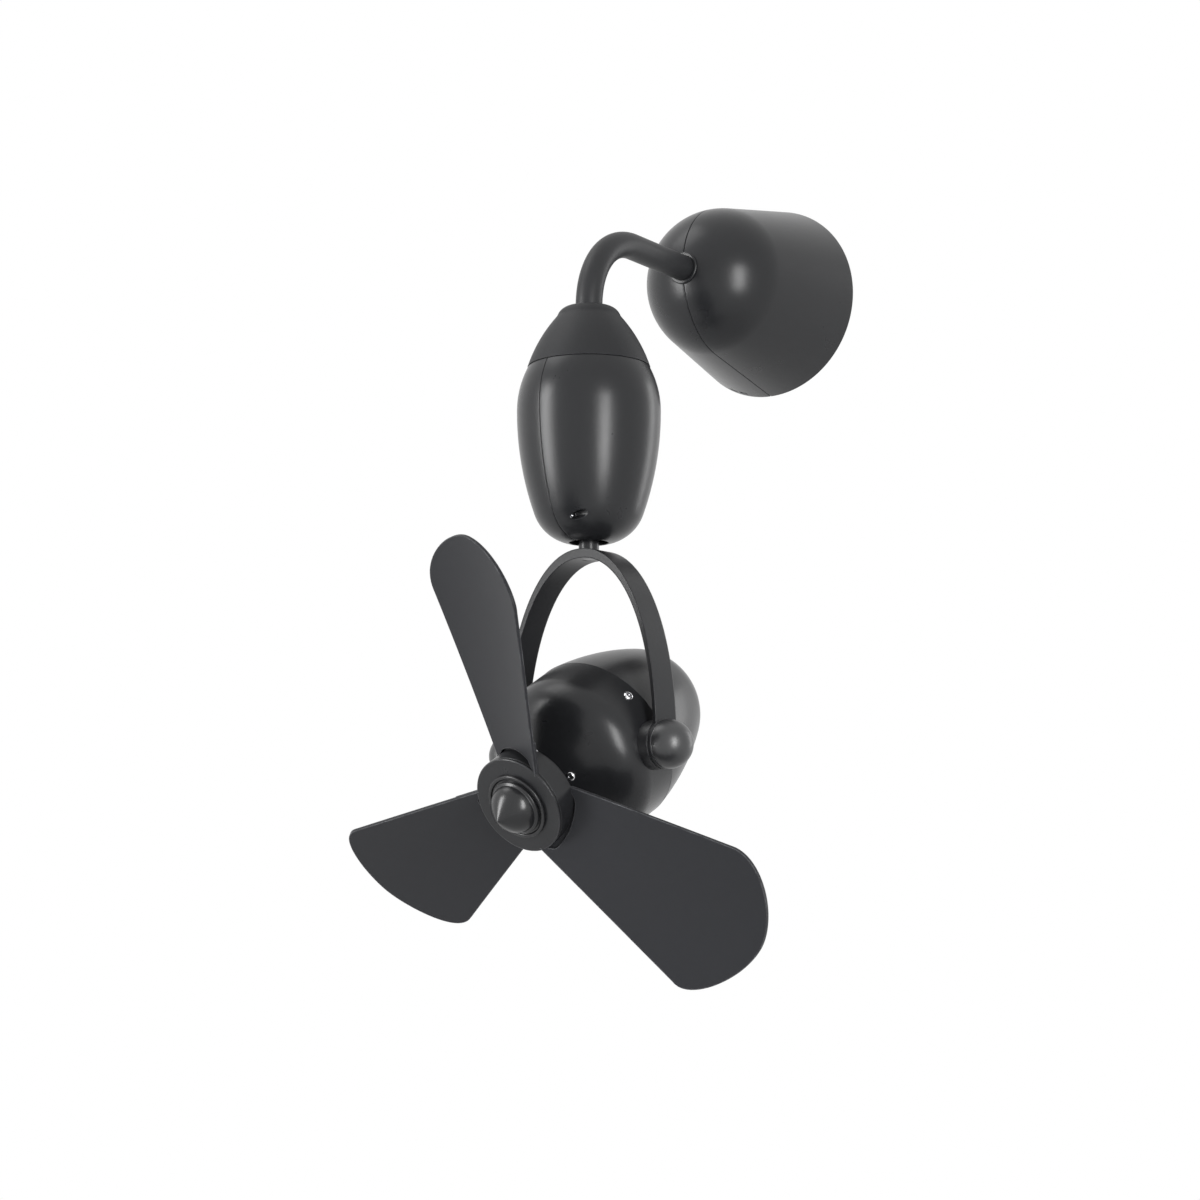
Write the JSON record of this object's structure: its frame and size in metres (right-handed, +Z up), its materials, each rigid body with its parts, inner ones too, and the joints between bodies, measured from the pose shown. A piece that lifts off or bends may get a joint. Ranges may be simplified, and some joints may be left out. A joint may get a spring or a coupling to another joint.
{
  "type": "wall and ceiling fan",
  "caption": "Wall fan on a bent arm: domed wall canopy, swinging egg-shaped gearbox, arched yoke and a tilting motor head with pitched paddle blades on a round hub.",
  "frame": {"origin": "centre of the wall plate's back, on the wall plane, on the arm tube's axis", "axes": "+Z up, +Y into the wall, the fan reaches out along -Y; +X to the right when facing the wall"},
  "size_m": [0.3618, 0.4443, 0.6404],
  "materials": {
    "charcoal_plastic": "satin charcoal grey, fine moulded grain",
    "charcoal_paint": "satin charcoal powder coat",
    "charcoal_blade": "matt charcoal grey",
    "charcoal_gloss": "glossy charcoal grey",
    "zinc_steel": "bright zinc plate",
    "ground_steel": "ground steel",
    "lamination_steel": "stacked laminations",
    "bright_screws": "bright nickel plate",
    "cast_alloy": "as cast",
    "copper_winding": "enamelled copper wire",
    "white_nylon": "natural nylon",
    "black_plastic": "black case"
  },
  "bodies": {
    "root": {"wall_plate": "zinc_steel", "terminal_block": "white_nylon", "canopy_left": "charcoal_plastic", "canopy_right": "charcoal_plastic", "canopy_screws": "zinc_steel", "tube_collar": "charcoal_plastic", "arm_tube": "charcoal_paint", "arm_bolt": "zinc_steel", "gearbox_cap": "charcoal_plastic", "cap_screw": "zinc_steel", "gear_frame": "cast_alloy", "frame_screws": "zinc_steel", "casing_left": "charcoal_plastic", "casing_right": "charcoal_plastic", "casing_screws": "bright_screws", "swing_motor": "zinc_steel", "swing_motor_screws": "zinc_steel", "shaft_bearings": "ground_steel"},
    "pinion": {"drive_pinion": "white_nylon"},
    "swing": {"swing_shaft": "charcoal_paint", "swing_gear": "white_nylon", "gear_pin": "zinc_steel", "shaft_circlip": "zinc_steel", "yoke": "charcoal_paint"},
    "head": {"pivot_spacers": "charcoal_plastic", "friction_washers": "ground_steel", "pivot_bolts": "zinc_steel", "pivot_caps": "charcoal_plastic", "motor_shell_front": "charcoal_paint", "motor_shell_rear": "charcoal_paint", "shell_screws": "bright_screws", "front_screws": "bright_screws", "motor_bracket_front": "cast_alloy", "motor_bracket_rear": "cast_alloy", "stator_core": "lamination_steel", "stator_windings": "copper_winding", "stator_bolts": "zinc_steel", "run_capacitor": "black_plastic", "motor_bearings": "ground_steel"},
    "spin": {"motor_shaft": "ground_steel", "rotor": "lamination_steel", "hub": "charcoal_paint", "hub_plate": "charcoal_paint", "blade_1": "charcoal_blade", "blade_2": "charcoal_blade", "blade_3": "charcoal_blade", "blade_screws": "bright_screws", "nose_ring": "charcoal_gloss", "nose_cone": "charcoal_gloss", "hub_set_screw": "zinc_steel"}
  },
  "joints": [
    {"name": "swing", "type": "hinge", "parent": "root", "child": "swing", "pos_m": [0, -0.27, -0.2], "axis": [0, 0, 1], "range_deg": [-45, 45]},
    {"name": "pinion_turn", "type": "hinge", "parent": "root", "child": "pinion", "pos_m": [0.00538, -0.23441, -0.15], "axis": [0, 0, 1], "range_deg": [-135, 135]},
    {"name": "tilt", "type": "hinge", "parent": "swing", "child": "head", "pos_m": [0, -0.27, -0.3899], "axis": [0.9888, -0.1495, 0], "range_deg": [-30, 55]},
    {"name": "spin", "type": "hinge", "parent": "head", "child": "spin", "pos_m": [0, -0.27, -0.3899], "axis": [-0.1286, -0.8502, -0.5105], "continuous": true}
  ],
  "couplings": [
    {"joint": "pinion_turn", "follows": "swing", "ratio": -3}
  ]
}
